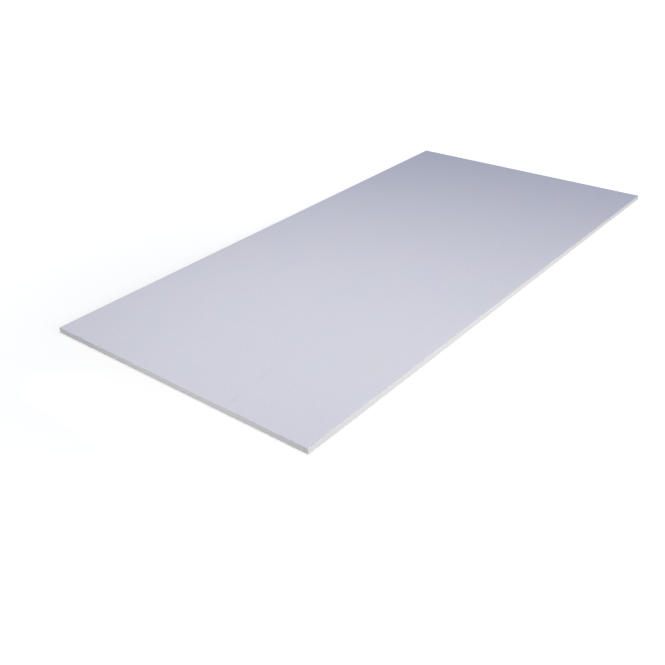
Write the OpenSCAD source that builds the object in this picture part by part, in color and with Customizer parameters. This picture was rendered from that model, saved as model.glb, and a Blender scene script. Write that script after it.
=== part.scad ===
// Drywall sheet: a gypsum board with paper faces, lying face up.
// X runs along the length, Y across the width and Z up out of the face.
// The origin is at the middle of the back, which lies on the floor.

/* [Board] */
// Length of the board, between its cut ends
board_length = 1800; // [600:10:3600]
// Width of the board, between its bound long edges
board_width = 900; // [300:10:1250]
// Thickness of the board, with both papers
board_thickness = 15; // [9.5:0.5:25]

/* [Edges] */
// Radius of the paper's fold along each arris of the long edges
fold_radius = 1.5; // [0.5:0.1:4]

/* [Hidden] */

$fn = 64;
face_colour = "#cbccd7";
// Distance between the centres of the folds, across the board and up it
fold_span = [board_width - 2 * fold_radius, board_thickness - 2 * fold_radius];

// Section across the board: square edges, with a round fold at each of the four arrises
module board_section() {
    square([fold_span.x, board_thickness], center = true);
    square([board_width, fold_span.y], center = true);
    for (across = [-0.5, 0.5], up = [-0.5, 0.5])
        translate([across * fold_span.x, up * fold_span.y])
            circle(r = fold_radius);
}

// The section drawn out along the length, and cut off square at both ends
module drywall_sheet() {
    color(face_colour)
        translate([0, 0, board_thickness / 2])
            rotate([90, 0, 90])
                linear_extrude(height = board_length, center = true)
                    board_section();
}

drywall_sheet();
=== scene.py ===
import math
import random

import bpy
import numpy as np
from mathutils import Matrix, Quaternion, Vector, noise


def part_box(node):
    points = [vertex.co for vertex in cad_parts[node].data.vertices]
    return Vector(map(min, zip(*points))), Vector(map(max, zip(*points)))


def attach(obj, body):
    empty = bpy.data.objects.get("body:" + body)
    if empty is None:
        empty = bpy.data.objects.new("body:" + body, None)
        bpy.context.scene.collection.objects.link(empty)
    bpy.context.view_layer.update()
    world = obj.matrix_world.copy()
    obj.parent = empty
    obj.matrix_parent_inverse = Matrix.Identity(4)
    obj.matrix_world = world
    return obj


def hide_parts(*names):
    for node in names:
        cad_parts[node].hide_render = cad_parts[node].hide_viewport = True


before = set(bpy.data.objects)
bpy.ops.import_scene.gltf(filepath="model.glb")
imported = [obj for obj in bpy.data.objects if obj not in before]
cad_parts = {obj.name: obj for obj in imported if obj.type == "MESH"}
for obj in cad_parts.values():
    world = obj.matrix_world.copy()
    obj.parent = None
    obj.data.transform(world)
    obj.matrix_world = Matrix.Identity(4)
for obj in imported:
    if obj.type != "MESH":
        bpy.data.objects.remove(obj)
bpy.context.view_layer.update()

# Sizes of the sheet, in metres: X along its length, Y across its width and Z up
low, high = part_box("drywall_sheet")
LENGTH, WIDTH, THICK = high - low
FOLD_RADIUS = 0.0015
PAPER_THICK = 0.0004

# Spacing of the mesh: wide over the faces, fine on the cut ends
FACE_STEP = 0.020
END_STEP = 0.0007
FOLD_STEPS = 6
EDGE_STEPS = 14
SIDE_STEPS = 2 * FOLD_STEPS + EDGE_STEPS

# Relief, all of it cut into the sheet's box: how deep, and how many ripples or lumps to a metre
FACE_RIPPLE, FACE_RIPPLES = 0.00015, 6
EDGE_RIPPLE, EDGE_RIPPLES = 0.00012, 12
PAPER_FRAY = 0.00020
CORE_SINK = 0.00025
CORE_GRAIN, CORE_GRAINS = 0.00018, 700
CORE_LUMP, CORE_LUMPS = 0.00025, 110
# Pits of each end: how many, their radius, their depth as a share of it, and the seed of their places
PITS_PER_END = 160
PIT_RADIUS = (0.0009, 0.0019)
PIT_DEPTH = 0.6
PIT_SEED = 7

# Surfaces of the sheet, in the order of its material slots
FACE, EDGE, BACK, CORE = range(4)


class Skin:
    """The points and faces of one mesh, gathered run by run."""

    def __init__(self):
        self.points = []
        self.faces = []
        self.surfaces = []

    def add(self, points):
        """Adds points and returns their numbers."""
        first = len(self.points)
        self.points.extend(points)
        return list(range(first, len(self.points)))

    def face(self, corners, surface):
        """Adds a face, without the corners that two runs share."""
        corners = list(dict.fromkeys(corners))
        if len(corners) > 2:
            self.faces.append(corners)
            self.surfaces.append(surface)

    def bridge(self, a, b, surfaces):
        """Joins two runs of as many points. The faces look along (a to b) x (along the run)."""
        for step, surface in enumerate(surfaces):
            self.face((a[step], b[step], b[step + 1], a[step + 1]), surface)

    def stitch(self, a, b, surface):
        """Joins two runs of different counts by triangles, which look the same way as bridge's."""
        i = j = 0
        while i < len(a) - 1 or j < len(b) - 1:
            if (i + 1) * (len(b) - 1) <= (j + 1) * (len(a) - 1):
                self.face((a[i], b[j], a[i + 1]), surface)
                i += 1
            else:
                self.face((a[i], b[j], b[j + 1]), surface)
                j += 1


def share(value, start, end):
    """How far value is on its way from start to end, from 0 to 1."""
    return min(max((value - start) / (end - start), 0), 1)


def ripple(x, y, z, scale):
    """A slow unevenness from 0 to 1."""
    return 0.5 + 0.5 * noise.noise(Vector((x, y, z)) * scale)


def side_curve(inset):
    """(y, z) down the long edge on +Y: the upper fold, the flat of the edge and the lower fold."""
    radius = FOLD_RADIUS - inset
    middle = WIDTH / 2 - FOLD_RADIUS
    turns = [math.pi / 2 * step / FOLD_STEPS for step in range(FOLD_STEPS + 1)]
    upper = [(middle + radius * math.sin(a), THICK - FOLD_RADIUS + radius * math.cos(a)) for a in turns]
    lower = [(y, THICK - z) for y, z in reversed(upper)]
    flat = np.linspace(upper[-1][1], lower[0][1], EDGE_STEPS + 1)[1:-1]
    return upper + [(upper[-1][0], z) for z in flat] + lower


def section_loop(skin, columns, inset, place):
    """One ring of points round the section, as its four runs. The two sides run from the face to the back."""
    curve = side_curve(inset)
    face = skin.add([place(y, THICK - inset) for y in columns])
    back = skin.add([place(y, inset) for y in columns])
    right = skin.add([place(y, z) for y, z in curve[1:-1]])
    left = skin.add([place(-y, z) for y, z in curve[1:-1]])
    return {
        "face": face,
        "back": back,
        "right": [face[-1], *right, back[-1]],
        "left": [face[0], *left, back[0]],
    }


def side_surfaces():
    """The surface of each step down a long edge, which meets the face and the back half way round a fold."""
    half_fold = FOLD_STEPS // 2
    return [FACE] * half_fold + [EDGE] * (SIDE_STEPS - 2 * half_fold) + [BACK] * half_fold


def join_loops(skin, a, b):
    """The stretch of the sheet's skin between two rings, where b is further along +X."""
    if len(a["face"]) == len(b["face"]):
        steps = len(a["face"]) - 1
        skin.bridge(a["face"], b["face"], [FACE] * steps)
        skin.bridge(b["back"], a["back"], [BACK] * steps)
    else:
        skin.stitch(a["face"], b["face"], FACE)
        skin.stitch(b["back"], a["back"], BACK)
    skin.bridge(a["right"], b["right"], side_surfaces())
    skin.bridge(b["left"], a["left"], side_surfaces())


def station_point(x):
    """Where a point of the section lies at a station along the length, on an uneven face or edge."""

    def place(y, z):
        dip = FACE_RIPPLE * ripple(x, y, 0, FACE_RIPPLES) * share(z, THICK - FOLD_RADIUS, THICK)
        pull = EDGE_RIPPLE * ripple(x, y, z, EDGE_RIPPLES) * share(abs(y), WIDTH / 2 - FOLD_RADIUS, WIDTH / 2)
        return (x, y - math.copysign(pull, y), z - dip)

    return place


def paper_point(sign):
    """Where a point of the papers' cut edge lies, a little frayed. sign is the end's, along X."""

    def place(y, z):
        fray = PAPER_FRAY * ripple(sign, y, z, CORE_GRAINS)
        return (sign * (LENGTH / 2 - fray), y, z)

    return place


def core_point(sign):
    """Where a point of the bare core lies, sunk behind the papers, lumpy and grainy."""

    def place(y, z):
        grain = CORE_GRAIN * (0.5 + 0.5 * noise.fractal(Vector((y, z, sign)) * CORE_GRAINS, 1.0, 2.0, 2))
        lump = CORE_LUMP * ripple(sign, y, z, CORE_LUMPS)
        return (sign * (LENGTH / 2 - CORE_SINK - grain - lump), y, z)

    return place


def pit_depths(columns, levels, seed):
    """Depth of the air bubbles that the cut has opened, over the grid of an end."""
    rng = random.Random(seed)
    grid_y, grid_z = np.meshgrid(columns, levels)
    depth = np.zeros_like(grid_y)
    for _ in range(PITS_PER_END):
        radius = rng.uniform(*PIT_RADIUS)
        y = rng.uniform(columns[0], columns[-1])
        z = rng.uniform(levels[-1], levels[0])
        off_middle = ((grid_y - y) ** 2 + (grid_z - z) ** 2) / radius**2
        depth = np.maximum(depth, PIT_DEPTH * radius * np.maximum(1 - off_middle, 0) ** 2)
    return depth


def end_cap(skin, outer, columns, sign):
    """A cut end: the papers' cut edges as a thin rim, and the bare core inside it."""

    def join(a, b, surfaces):
        skin.bridge(*((a, b) if sign > 0 else (b, a)), surfaces)

    place = core_point(sign)
    rim = section_loop(skin, columns, PAPER_THICK, place)
    steps = len(columns) - 1
    join(outer["face"], rim["face"], [FACE] * steps)
    join(rim["back"], outer["back"], [BACK] * steps)
    join(outer["right"], rim["right"], side_surfaces())
    join(rim["left"], outer["left"], side_surfaces())

    levels = np.linspace(THICK - PAPER_THICK, PAPER_THICK, SIDE_STEPS + 1)
    depths = pit_depths(columns, levels, PIT_SEED + sign)
    rows = [rim["face"]]
    for level, pits in zip(levels[1:-1], depths[1:-1]):
        points = [place(y, level) for y in columns]
        rows.append(skin.add([(x - sign * pit, y, z) for (x, y, z), pit in zip(points, pits)]))
    rows.append(rim["back"])
    for upper, lower in zip(rows, rows[1:]):
        join(upper, lower, [CORE] * steps)
    join(rim["right"], [row[-1] for row in rows], [CORE] * SIDE_STEPS)
    join([row[0] for row in rows], rim["left"], [CORE] * SIDE_STEPS)


# Map for baking: a band across the picture for each side of the sheet, taller than true for the thin ones.
# Each has its height, and the directions on the sheet that run across and up it.
MAP_GAP = 0.0075
MAP_BANDS = {
    "+Z": (0.440, (1, 0, 0), (0, 1, 0)),
    "-Z": (0.340, (1, 0, 0), (0, -1, 0)),
    "+Y": (0.028, (-1, 0, 0), (0, 0, 1)),
    "-Y": (0.028, (1, 0, 0), (0, 0, 1)),
    "+X": (0.055, (0, 1, 0), (0, 0, 1)),
    "-X": (0.055, (0, -1, 0), (0, 0, 1)),
}
# How far in from an end its rough surface reaches
CUT_REACH = 0.003


def side_of(polygon, corners):
    """The side of the sheet that a polygon belongs to, whichever way the grain of a cut end turns it."""
    if min(abs(corner.x) for corner in corners) > LENGTH / 2 - CUT_REACH:
        return "+X" if corners[0].x > 0 else "-X"
    if abs(polygon.normal.y) > abs(polygon.normal.z):
        return "+Y" if polygon.normal.y > 0 else "-Y"
    return "+Z" if polygon.normal.z > 0 else "-Z"


def lay_map(mesh):
    """Lays each side of the sheet flat on its band of the map."""
    places = mesh.uv_layers.new(name="OFBake").uv
    floors = {}
    level = MAP_GAP
    for side, (height, _, _) in MAP_BANDS.items():
        floors[side] = level
        level += height + MAP_GAP
    for polygon in mesh.polygons:
        corners = [mesh.vertices[point].co for point in polygon.vertices]
        side = side_of(polygon, corners)
        height, across, up = MAP_BANDS[side]
        for loop, corner in zip(polygon.loop_indices, corners):
            from_middle = Vector((corner.x / LENGTH, corner.y / WIDTH, corner.z / THICK - 0.5))
            u = 0.5 + (1 - 2 * MAP_GAP) * from_middle.dot(Vector(across))
            v = floors[side] + height * (0.5 + from_middle.dot(Vector(up)))
            places[loop].vector = (u, v)


def sheet_mesh():
    """The whole sheet as one closed mesh, with crisp arrises round its cut ends."""
    skin = Skin()
    reach = WIDTH / 2 - FOLD_RADIUS
    coarse = np.linspace(-reach, reach, round(2 * reach / FACE_STEP) + 1)
    fine = np.linspace(-reach, reach, round(2 * reach / END_STEP) + 1)
    stations = np.linspace(-LENGTH / 2, LENGTH / 2, round(LENGTH / FACE_STEP) + 1)[1:-1]
    first = section_loop(skin, fine, 0, paper_point(-1))
    last = section_loop(skin, fine, 0, paper_point(1))
    loops = [first, *(section_loop(skin, coarse, 0, station_point(x)) for x in stations), last]
    for a, b in zip(loops, loops[1:]):
        join_loops(skin, a, b)
    end_cap(skin, first, fine, -1)
    end_cap(skin, last, fine, 1)
    mesh = bpy.data.meshes.new("board")
    mesh.from_pydata(skin.points, [], skin.faces)
    mesh.polygons.foreach_set("material_index", skin.surfaces)
    mesh.shade_smooth()
    arrises = {point for loop in (first, last) for run in loop.values() for point in run}
    for edge in mesh.edges:
        edge.use_edge_sharp = arrises.issuperset(edge.vertices)
    lay_map(mesh)
    return mesh


# How strongly a material's bump shows, and how little its matt surface reflects
BUMP_STRENGTH = 0.6
MATT_SPECULAR = 0.3


def srgb(red, green, blue):
    """A colour as Blender holds it, from its screen values of 0 to 255."""
    screen = [channel / 255 for channel in (red, green, blue)]
    return [c / 12.92 if c <= 0.04045 else ((c + 0.055) / 1.055) ** 2.4 for c in screen] + [1.0]


class Paint:
    """Builds the nodes of one material. Places and scales are in metres, in the object's own frame."""

    def __init__(self, name):
        self.material = bpy.data.materials.new(name)
        self.material.use_nodes = True
        self.tree = self.material.node_tree
        self.shader = self.tree.nodes["Principled BSDF"]
        self.place = self.add("ShaderNodeTexCoord").outputs["Object"]

    def add(self, kind, inputs=(), **settings):
        """Adds a node. inputs gives (socket, value or output) pairs."""
        node = self.tree.nodes.new(kind)
        for name, value in settings.items():
            setattr(node, name, value)
        for socket, value in inputs:
            self.feed(node.inputs[socket], value)
        return node

    def feed(self, socket, value):
        if isinstance(value, bpy.types.NodeSocket):
            self.tree.links.new(value, socket)
        else:
            socket.default_value = value

    def math(self, operation, a, b=0.0):
        return self.add("ShaderNodeMath", [(0, a), (1, b)], operation=operation).outputs[0]

    def total(self, start, parts):
        """start plus each (value, amount) of parts."""
        result = start
        for value, amount in parts:
            terms = [(0, value), (1, amount), (2, result)]
            result = self.add("ShaderNodeMath", terms, operation="MULTIPLY_ADD").outputs[0]
        return result

    def ramp(self, value, start, end):
        """A smooth step from 0 to 1 as value goes from start to end."""
        steps = [("Value", value), ("From Min", start), ("From Max", end)]
        return self.add("ShaderNodeMapRange", steps, interpolation_type="SMOOTHSTEP").outputs[0]

    def mix(self, factor, a, b):
        return self.add("ShaderNodeMix", [(0, factor), (6, a), (7, b)], data_type="RGBA").outputs[2]

    def brighten(self, colour, tone):
        return self.add("ShaderNodeVectorMath", [(0, colour), ("Scale", tone)], operation="SCALE").outputs[0]

    def grain(self, scale, detail=2.0):
        """Noise of that many lumps to a metre, along X, Y and Z, from about -0.5 to 0.5."""
        stretched = self.add("ShaderNodeVectorMath", [(0, self.place), (1, scale)], operation="MULTIPLY")
        settings = [("Vector", stretched.outputs[0]), ("Scale", 1.0), ("Detail", detail)]
        return self.math("SUBTRACT", self.add("ShaderNodeTexNoise", settings).outputs["Fac"], 0.5)

    def hairs(self, scale):
        """Short thin curved fibres, as 1 on a ground of 0."""
        line = self.ramp(self.math("ABSOLUTE", self.grain((scale, scale, scale), 1.0)), 0.05, 0.02)
        patch = self.ramp(self.grain((0.7 * scale, 0.9 * scale, 0.8 * scale), 0.0), 0.14, 0.18)
        return self.math("MULTIPLY", line, patch)

    def pores(self, scale, largest):
        """Opened air bubbles of uneven shape, 1 in the middle. The largest fill that share of a cell."""
        bend = [("Vector", self.place), ("Scale", 1.5 * scale)]
        shift = self.add("ShaderNodeTexNoise", bend).outputs["Color"]
        reach = (0.6 / scale, 0.6 / scale, 0.6 / scale)
        terms = [(0, shift), (1, reach), (2, self.place)]
        bent = self.add("ShaderNodeVectorMath", terms, operation="MULTIPLY_ADD")
        cells = self.add("ShaderNodeTexVoronoi", [("Vector", bent.outputs[0]), ("Scale", scale)])
        size = self.math("MULTIPLY", cells.outputs["Color"], largest)
        return self.ramp(self.math("SUBTRACT", size, cells.outputs["Distance"]), 0.0, 0.6 * largest)

    def rubbed(self, band):
        """1 along the sheet's outline, in uneven patches, fading to 0 over a band inside it."""
        across = self.add("ShaderNodeSeparateXYZ", [(0, self.place)])
        to_end = self.ramp(self.math("ABSOLUTE", across.outputs["X"]), LENGTH / 2 - band, LENGTH / 2)
        to_side = self.ramp(self.math("ABSOLUTE", across.outputs["Y"]), WIDTH / 2 - band, WIDTH / 2)
        patches = self.ramp(self.grain((28.0, 28.0, 28.0), 4.0), -0.05, 0.20)
        return self.math("MULTIPLY", self.math("MAXIMUM", to_end, to_side), patches)

    def smudge(self, x, y, length, width, turn):
        """A soft streak with its middle at (x, y), from 0 at its rim to 1."""
        size = ("Scale", (length / 2, width / 2, 1))
        where = [("Location", (x, y, 0)), ("Rotation", (0, 0, math.radians(turn))), size]
        moved = self.add("ShaderNodeMapping", [("Vector", self.place), *where], vector_type="TEXTURE")
        flattened = [(0, moved.outputs[0]), (1, (1, 1, 0))]
        level = self.add("ShaderNodeVectorMath", flattened, operation="MULTIPLY")
        reach = self.add("ShaderNodeVectorMath", [(0, level.outputs[0])], operation="LENGTH")
        return self.ramp(reach.outputs["Value"], 1.0, 0.2)

    def finish(self, colour, roughness, height, bump_depth):
        """Feeds the shader and returns the material."""
        relief = [("Height", height), ("Distance", bump_depth), ("Strength", BUMP_STRENGTH)]
        bump = self.add("ShaderNodeBump", relief)
        self.feed(self.shader.inputs["Base Color"], colour)
        self.feed(self.shader.inputs["Roughness"], roughness)
        self.feed(self.shader.inputs["Normal"], bump.outputs[0])
        self.shader.inputs["Specular IOR Level"].default_value = MATT_SPECULAR
        return self.material


# Faint marks on the face: x, y, length, width in metres, turn in degrees, and how much they darken it
SCUFFS = [
    (-0.855, -0.185, 0.070, 0.016, 12, 0.030),
    (-0.735, -0.170, 0.150, 0.020, 10, 0.020),
    (-0.620, -0.150, 0.060, 0.018, 12, 0.014),
    (-0.835, -0.105, 0.012, 0.050, 20, 0.016),
    (-0.545, -0.365, 0.045, 0.022, 0, 0.012),
    (-0.002, -0.382, 0.034, 0.012, 40, 0.022),
    (-0.002, 0.017, 0.036, 0.012, 40, 0.018),
    (-0.145, -0.205, 0.040, 0.026, 0, 0.014),
]
# A pale rubbed line across the sheet, beside the end at -X
RUBBED_LINE = (-0.828, 0.190, 0.520, 0.012, 90, -0.014)


def face_paper():
    """Smooth lilac-grey paper: cloudy, streaked along the length, with fine fibres and faint scuffs."""
    paint = Paint("face_paper")
    clouds = paint.grain((3.0, 3.0, 3.0), 3.0)
    streaks = paint.grain((1.2, 42.0, 1.0))
    mottle = paint.grain((120.0, 210.0, 120.0), 3.0)
    fibres = paint.grain((320.0, 1100.0, 320.0), 3.0)
    flecks = paint.ramp(paint.grain((420.0, 420.0, 420.0), 0.0), 0.22, 0.30)
    marks = [(paint.smudge(*place), -depth) for *place, depth in [*SCUFFS, RUBBED_LINE]]
    texture = [(clouds, 0.030), (streaks, 0.018), (mottle, 0.100), (fibres, 0.180), (flecks, -0.05)]
    tone = paint.total(1.0, [*texture, (paint.hairs(300.0), -0.04), *marks])
    hue = paint.ramp(paint.grain((5.0, 7.0, 5.0)), -0.25, 0.25)
    lilac = paint.mix(hue, srgb(200, 203, 217), srgb(202, 203, 216))
    worn = paint.mix(paint.math("MULTIPLY", paint.rubbed(0.004), 0.4), lilac, srgb(222, 221, 225))
    roughness = paint.total(0.80, [(fibres, 0.20), (mottle, 0.15)])
    height = paint.total(fibres, [(mottle, 1.0), (streaks, 0.5)])
    return paint.finish(paint.brighten(worn, tone), roughness, height, 0.00014)


def edge_paper():
    """The pale bound paper of the long edges, with fibres and slight creases along it."""
    paint = Paint("edge_paper")
    patches = paint.grain((7.0, 7.0, 40.0), 3.0)
    creases = paint.grain((55.0, 55.0, 400.0), 2.0)
    fibres = paint.grain((260.0, 1300.0, 1300.0), 3.0)
    texture = [(patches, 0.025), (creases, 0.035), (fibres, 0.150)]
    tone = paint.total(1.0, [*texture, (paint.hairs(320.0), -0.04)])
    pale = paint.mix(paint.ramp(patches, -0.2, 0.2), srgb(231, 230, 231), srgb(230, 229, 229))
    roughness = paint.total(0.82, [(fibres, 0.15), (creases, 0.10)])
    height = paint.total(fibres, [(creases, 1.5)])
    return paint.finish(paint.brighten(pale, tone), roughness, height, 0.00015)


def gypsum_core():
    """The bare core at the cut ends: chalky, grainy and full of small air holes, with painted shade darkening
    each hole towards its middle.
    """
    paint = Paint("gypsum_core")
    grain = paint.grain((1500.0, 1500.0, 1500.0), 3.0)
    patches = paint.grain((70.0, 70.0, 70.0), 3.0)
    crumbs = paint.grain((450.0, 450.0, 450.0), 3.0)
    small = paint.pores(1100.0, 0.45)
    large = paint.pores(360.0, 0.35)
    # The small and large air holes darken the colour towards their middles: painted shade inside the holes,
    # on top of their bump.
    tone = paint.total(1.0, [(grain, 0.16), (crumbs, 0.08), (patches, 0.05), (small, -0.16), (large, -0.34)])
    chalk = paint.mix(paint.ramp(patches, -0.2, 0.2), srgb(229, 226, 222), srgb(224, 221, 218))
    roughness = paint.total(0.95, [(grain, 0.08)])
    height = paint.total(grain, [(crumbs, 1.2), (small, -0.8), (large, -2.0)])
    return paint.finish(paint.brighten(chalk, tone), roughness, height, 0.0003)


def back_paper():
    """Coarse khaki paper, with the mixed fibres and flecks of recycled stock."""
    paint = Paint("back_paper")
    clouds = paint.grain((5.0, 8.0, 5.0), 4.0)
    streaks = paint.grain((1.5, 30.0, 1.0))
    mottle = paint.grain((90.0, 170.0, 90.0), 3.0)
    fibres = paint.grain((240.0, 700.0, 240.0), 4.0)
    flecks = paint.ramp(paint.grain((260.0, 420.0, 300.0), 1.0), 0.20, 0.30)
    dark_hairs = paint.hairs(280.0)
    pale_hairs = paint.hairs(360.0)
    texture = [(clouds, 0.035), (streaks, 0.040), (mottle, 0.070), (fibres, 0.150)]
    tone = paint.total(1.0, [*texture, (flecks, -0.10), (dark_hairs, -0.09)])
    khaki = paint.mix(paint.ramp(clouds, -0.25, 0.25), srgb(177, 176, 154), srgb(181, 180, 158))
    flecked = paint.mix(paint.math("MULTIPLY", pale_hairs, 0.4), khaki, srgb(206, 203, 187))
    worn = paint.mix(paint.math("MULTIPLY", paint.rubbed(0.005), 0.3), flecked, srgb(200, 197, 180))
    roughness = paint.total(0.86, [(fibres, 0.18)])
    height = paint.total(fibres, [(mottle, 1.0)])
    return paint.finish(paint.brighten(worn, tone), roughness, height, 0.0002)


def build_sheet():
    """The finished sheet, which stands for the solid."""
    board = bpy.data.objects.new("board", sheet_mesh())
    bpy.context.scene.collection.objects.link(board)
    for material in (face_paper(), edge_paper(), back_paper(), gypsum_core()):
        board.data.materials.append(material)
    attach(board, "root")
    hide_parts("drywall_sheet")


# Light: a cool sky, a white ground, a soft box over the near end, a strip along the long edge and a weak fill
SKY = (0.28, 0.32, 0.44, 1.0)
GROUND = (0.78, 0.77, 0.78, 1.0)
HORIZON = 0.08
OVERHEAD_FOOT = (-0.58, 0.0, 0.0)
OVERHEAD_HEIGHT = 1.9
# Each lamp's name, place, the point that it faces, its sides, and its watts of red, green and blue
LAMPS = [
    ("overhead_box", (-0.58, 0.0, OVERHEAD_HEIGHT), OVERHEAD_FOOT, (1.0, 1.0), (25.8, 24.2, 19.2)),
    ("edge_strip", (-0.25, -2.0, 0.7), (-0.25, -0.45, 0.0), (1.6, 0.6), (16.3, 15.1, 12.9)),
    ("end_fill", (-1.15, -0.10, 0.04), (-0.9, -0.10, 0.01), (0.66, 0.05), (0.195, 0.195, 0.20)),
]

# Floor: white to the camera, with the sheet's soft shadow, and seen from above only
FLOOR_SIDE = 80.0
FLOOR_DROP = 0.0001
FLOOR_COLOUR = srgb(225, 226, 228)
# Its own glow fills in for the overhead lamp, which falls off away from its foot
GLOW_FAR, GLOW_DROP = 0.91, 0.75


def seen_directly(tree):
    """1 for light that goes to the camera, straight or by a reflection or through glass, else 0."""
    path = tree.nodes.new("ShaderNodeLightPath")
    result = path.outputs["Is Camera Ray"]
    for name in ("Is Glossy Ray", "Is Transmission Ray"):
        either = tree.nodes.new("ShaderNodeMath")
        either.operation = "MAXIMUM"
        tree.links.new(result, either.inputs[0])
        tree.links.new(path.outputs[name], either.inputs[1])
        result = either.outputs[0]
    return result


def floor_material():
    """Matt white that glows to the camera, more so away from the overhead lamp, and clear from below."""
    paint = Paint("floor")
    away = paint.add("ShaderNodeVectorMath", [(0, paint.place), (1, OVERHEAD_FOOT)], operation="DISTANCE")
    reach = paint.math("DIVIDE", away.outputs["Value"], OVERHEAD_HEIGHT)
    spread = paint.total(1.0, [(reach, reach)])
    glow = paint.total(GLOW_FAR, [(paint.math("POWER", spread, -2.0), -GLOW_DROP)])
    strength = paint.math("MULTIPLY", glow, seen_directly(paint.tree))
    paint.shader.inputs["Base Color"].default_value = FLOOR_COLOUR
    paint.shader.inputs["Roughness"].default_value = 1.0
    paint.shader.inputs["Specular IOR Level"].default_value = 0.0
    paint.shader.inputs["Emission Color"].default_value = (1, 1, 1, 1)
    paint.feed(paint.shader.inputs["Emission Strength"], strength)
    under = paint.add("ShaderNodeNewGeometry").outputs["Backfacing"]
    clear = paint.add("ShaderNodeBsdfTransparent").outputs[0]
    one_sided = paint.add("ShaderNodeMixShader", [(0, under), (1, paint.shader.outputs[0]), (2, clear)])
    paint.feed(paint.tree.nodes["Material Output"].inputs["Surface"], one_sided.outputs[0])
    return paint.material


def build_floor():
    """The floor just under the sheet, which lets the ground's light through to the sheet's edges."""
    bpy.ops.mesh.primitive_plane_add(size=FLOOR_SIDE, location=(0, 0, low.z - FLOOR_DROP))
    floor = bpy.context.object
    floor.name = "floor"
    floor.data.materials.append(floor_material())
    floor.visible_diffuse = False
    floor.visible_shadow = False


def build_lamp(name, place, aim, size, watts):
    data = bpy.data.lights.new(name, "AREA")
    data.shape = "RECTANGLE"
    data.size, data.size_y = size
    data.energy = max(watts)
    data.color = [channel / data.energy for channel in watts]
    lamp = bpy.data.objects.new(name, data)
    lamp.location = place
    lamp.rotation_mode = "QUATERNION"
    lamp.rotation_quaternion = (Vector(aim) - Vector(place)).to_track_quat("-Z", "Y")
    lamp.visible_camera = False
    bpy.context.scene.collection.objects.link(lamp)


def build_surround():
    """White where it is seen, and a sky and a ground that light the sheet."""
    world = bpy.data.worlds.new("surround")
    world.use_nodes = True
    tree = world.node_tree
    direction = tree.nodes.new("ShaderNodeTexCoord")
    height = tree.nodes.new("ShaderNodeSeparateXYZ")
    rise = tree.nodes.new("ShaderNodeMapRange")
    rise.inputs["From Min"].default_value = -HORIZON
    rise.inputs["From Max"].default_value = HORIZON
    colour = tree.nodes.new("ShaderNodeMix")
    colour.data_type = "RGBA"
    colour.inputs[6].default_value = GROUND
    colour.inputs[7].default_value = SKY
    unseen = tree.nodes["Background"]
    white = tree.nodes.new("ShaderNodeBackground")
    white.inputs["Color"].default_value = (1, 1, 1, 1)
    either = tree.nodes.new("ShaderNodeMixShader")
    tree.links.new(direction.outputs["Generated"], height.inputs[0])
    tree.links.new(height.outputs["Z"], rise.inputs["Value"])
    tree.links.new(rise.outputs[0], colour.inputs[0])
    tree.links.new(colour.outputs[2], unseen.inputs["Color"])
    tree.links.new(seen_directly(tree), either.inputs[0])
    tree.links.new(unseen.outputs[0], either.inputs[1])
    tree.links.new(white.outputs[0], either.inputs[2])
    tree.links.new(either.outputs[0], tree.nodes["World Output"].inputs["Surface"])
    bpy.context.scene.world = world


# Camera, from the sheet's corners in the photograph
CAMERA_PLACE = Vector((-1.9985, -1.4633, 1.1738))
CAMERA_AHEAD = Vector((0.65922, 0.55859, -0.50341))
CAMERA_ROLL = math.radians(-2.23)
CAMERA_LENS = 46.83


def build_camera():
    camera = bpy.data.objects.new("camera", bpy.data.cameras.new("camera"))
    camera.data.lens = CAMERA_LENS
    camera.location = CAMERA_PLACE
    camera.rotation_mode = "QUATERNION"
    camera.rotation_quaternion = CAMERA_AHEAD.to_track_quat("-Z", "Y") @ Quaternion((0, 0, 1), CAMERA_ROLL)
    bpy.context.scene.collection.objects.link(camera)
    bpy.context.scene.camera = camera


build_sheet()
build_floor()
build_surround()
for lamp in LAMPS:
    build_lamp(*lamp)
build_camera()
bpy.context.scene.view_settings.view_transform = "Standard"
